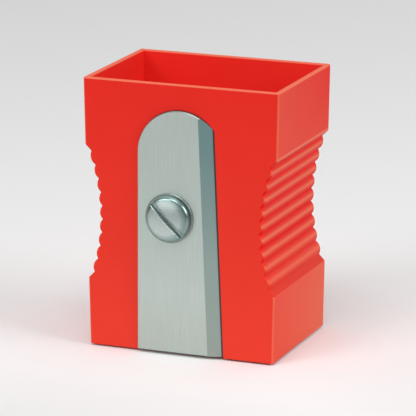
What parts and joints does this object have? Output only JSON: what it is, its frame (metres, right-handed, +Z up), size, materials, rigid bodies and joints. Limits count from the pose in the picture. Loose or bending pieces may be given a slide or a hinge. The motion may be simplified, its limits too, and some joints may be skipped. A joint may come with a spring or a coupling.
{
  "type": "desk pen holder",
  "caption": "Open desk pen holder shaped like a giant wedge pencil sharpener: a waisted red cup with ribbed sides and an arched grey blade plate held by a slotted screw.",
  "frame": {"origin": "on the desk, under the middle of the whole object's box", "axes": "+Z up, -Y out of the face that carries the blade, +X to the right of someone who looks at the blade"},
  "size_m": [0.078, 0.0614, 0.104],
  "materials": {
    "red_plastic": "smooth moulded, semi-gloss",
    "blade_metal": "satin, pale grey with a faint green cast",
    "screw_metal": "turned and nickel plated",
    "insert_brass": "plain turned",
    "foot_rubber": "matt"
  },
  "bodies": {
    "holder": {"body_shell": "red_plastic", "floor_panel": "red_plastic", "foot_pad_front_left": "foot_rubber", "foot_pad_front_right": "foot_rubber", "foot_pad_rear_left": "foot_rubber", "foot_pad_rear_right": "foot_rubber", "thread_insert": "insert_brass", "blade_plate": "blade_metal"},
    "washer": {"screw_washer": "screw_metal"},
    "screw": {"blade_screw": "screw_metal"}
  },
  "joints": [
    {"name": "washer_lift", "type": "slide", "parent": "holder", "child": "washer", "axis": [0, -1, 0], "range_m": [0, 0.0072]},
    {"name": "screw_turn", "type": "hinge", "parent": "washer", "child": "screw", "pos_m": [-0.0037, -0.0267, 0.0534], "axis": [0, -1, 0], "range_deg": [0, 2520]}
  ],
  "couplings": [
    {"joint": "washer_lift", "follows": "screw_turn", "m_per_rad": 0.00015915}
  ]
}
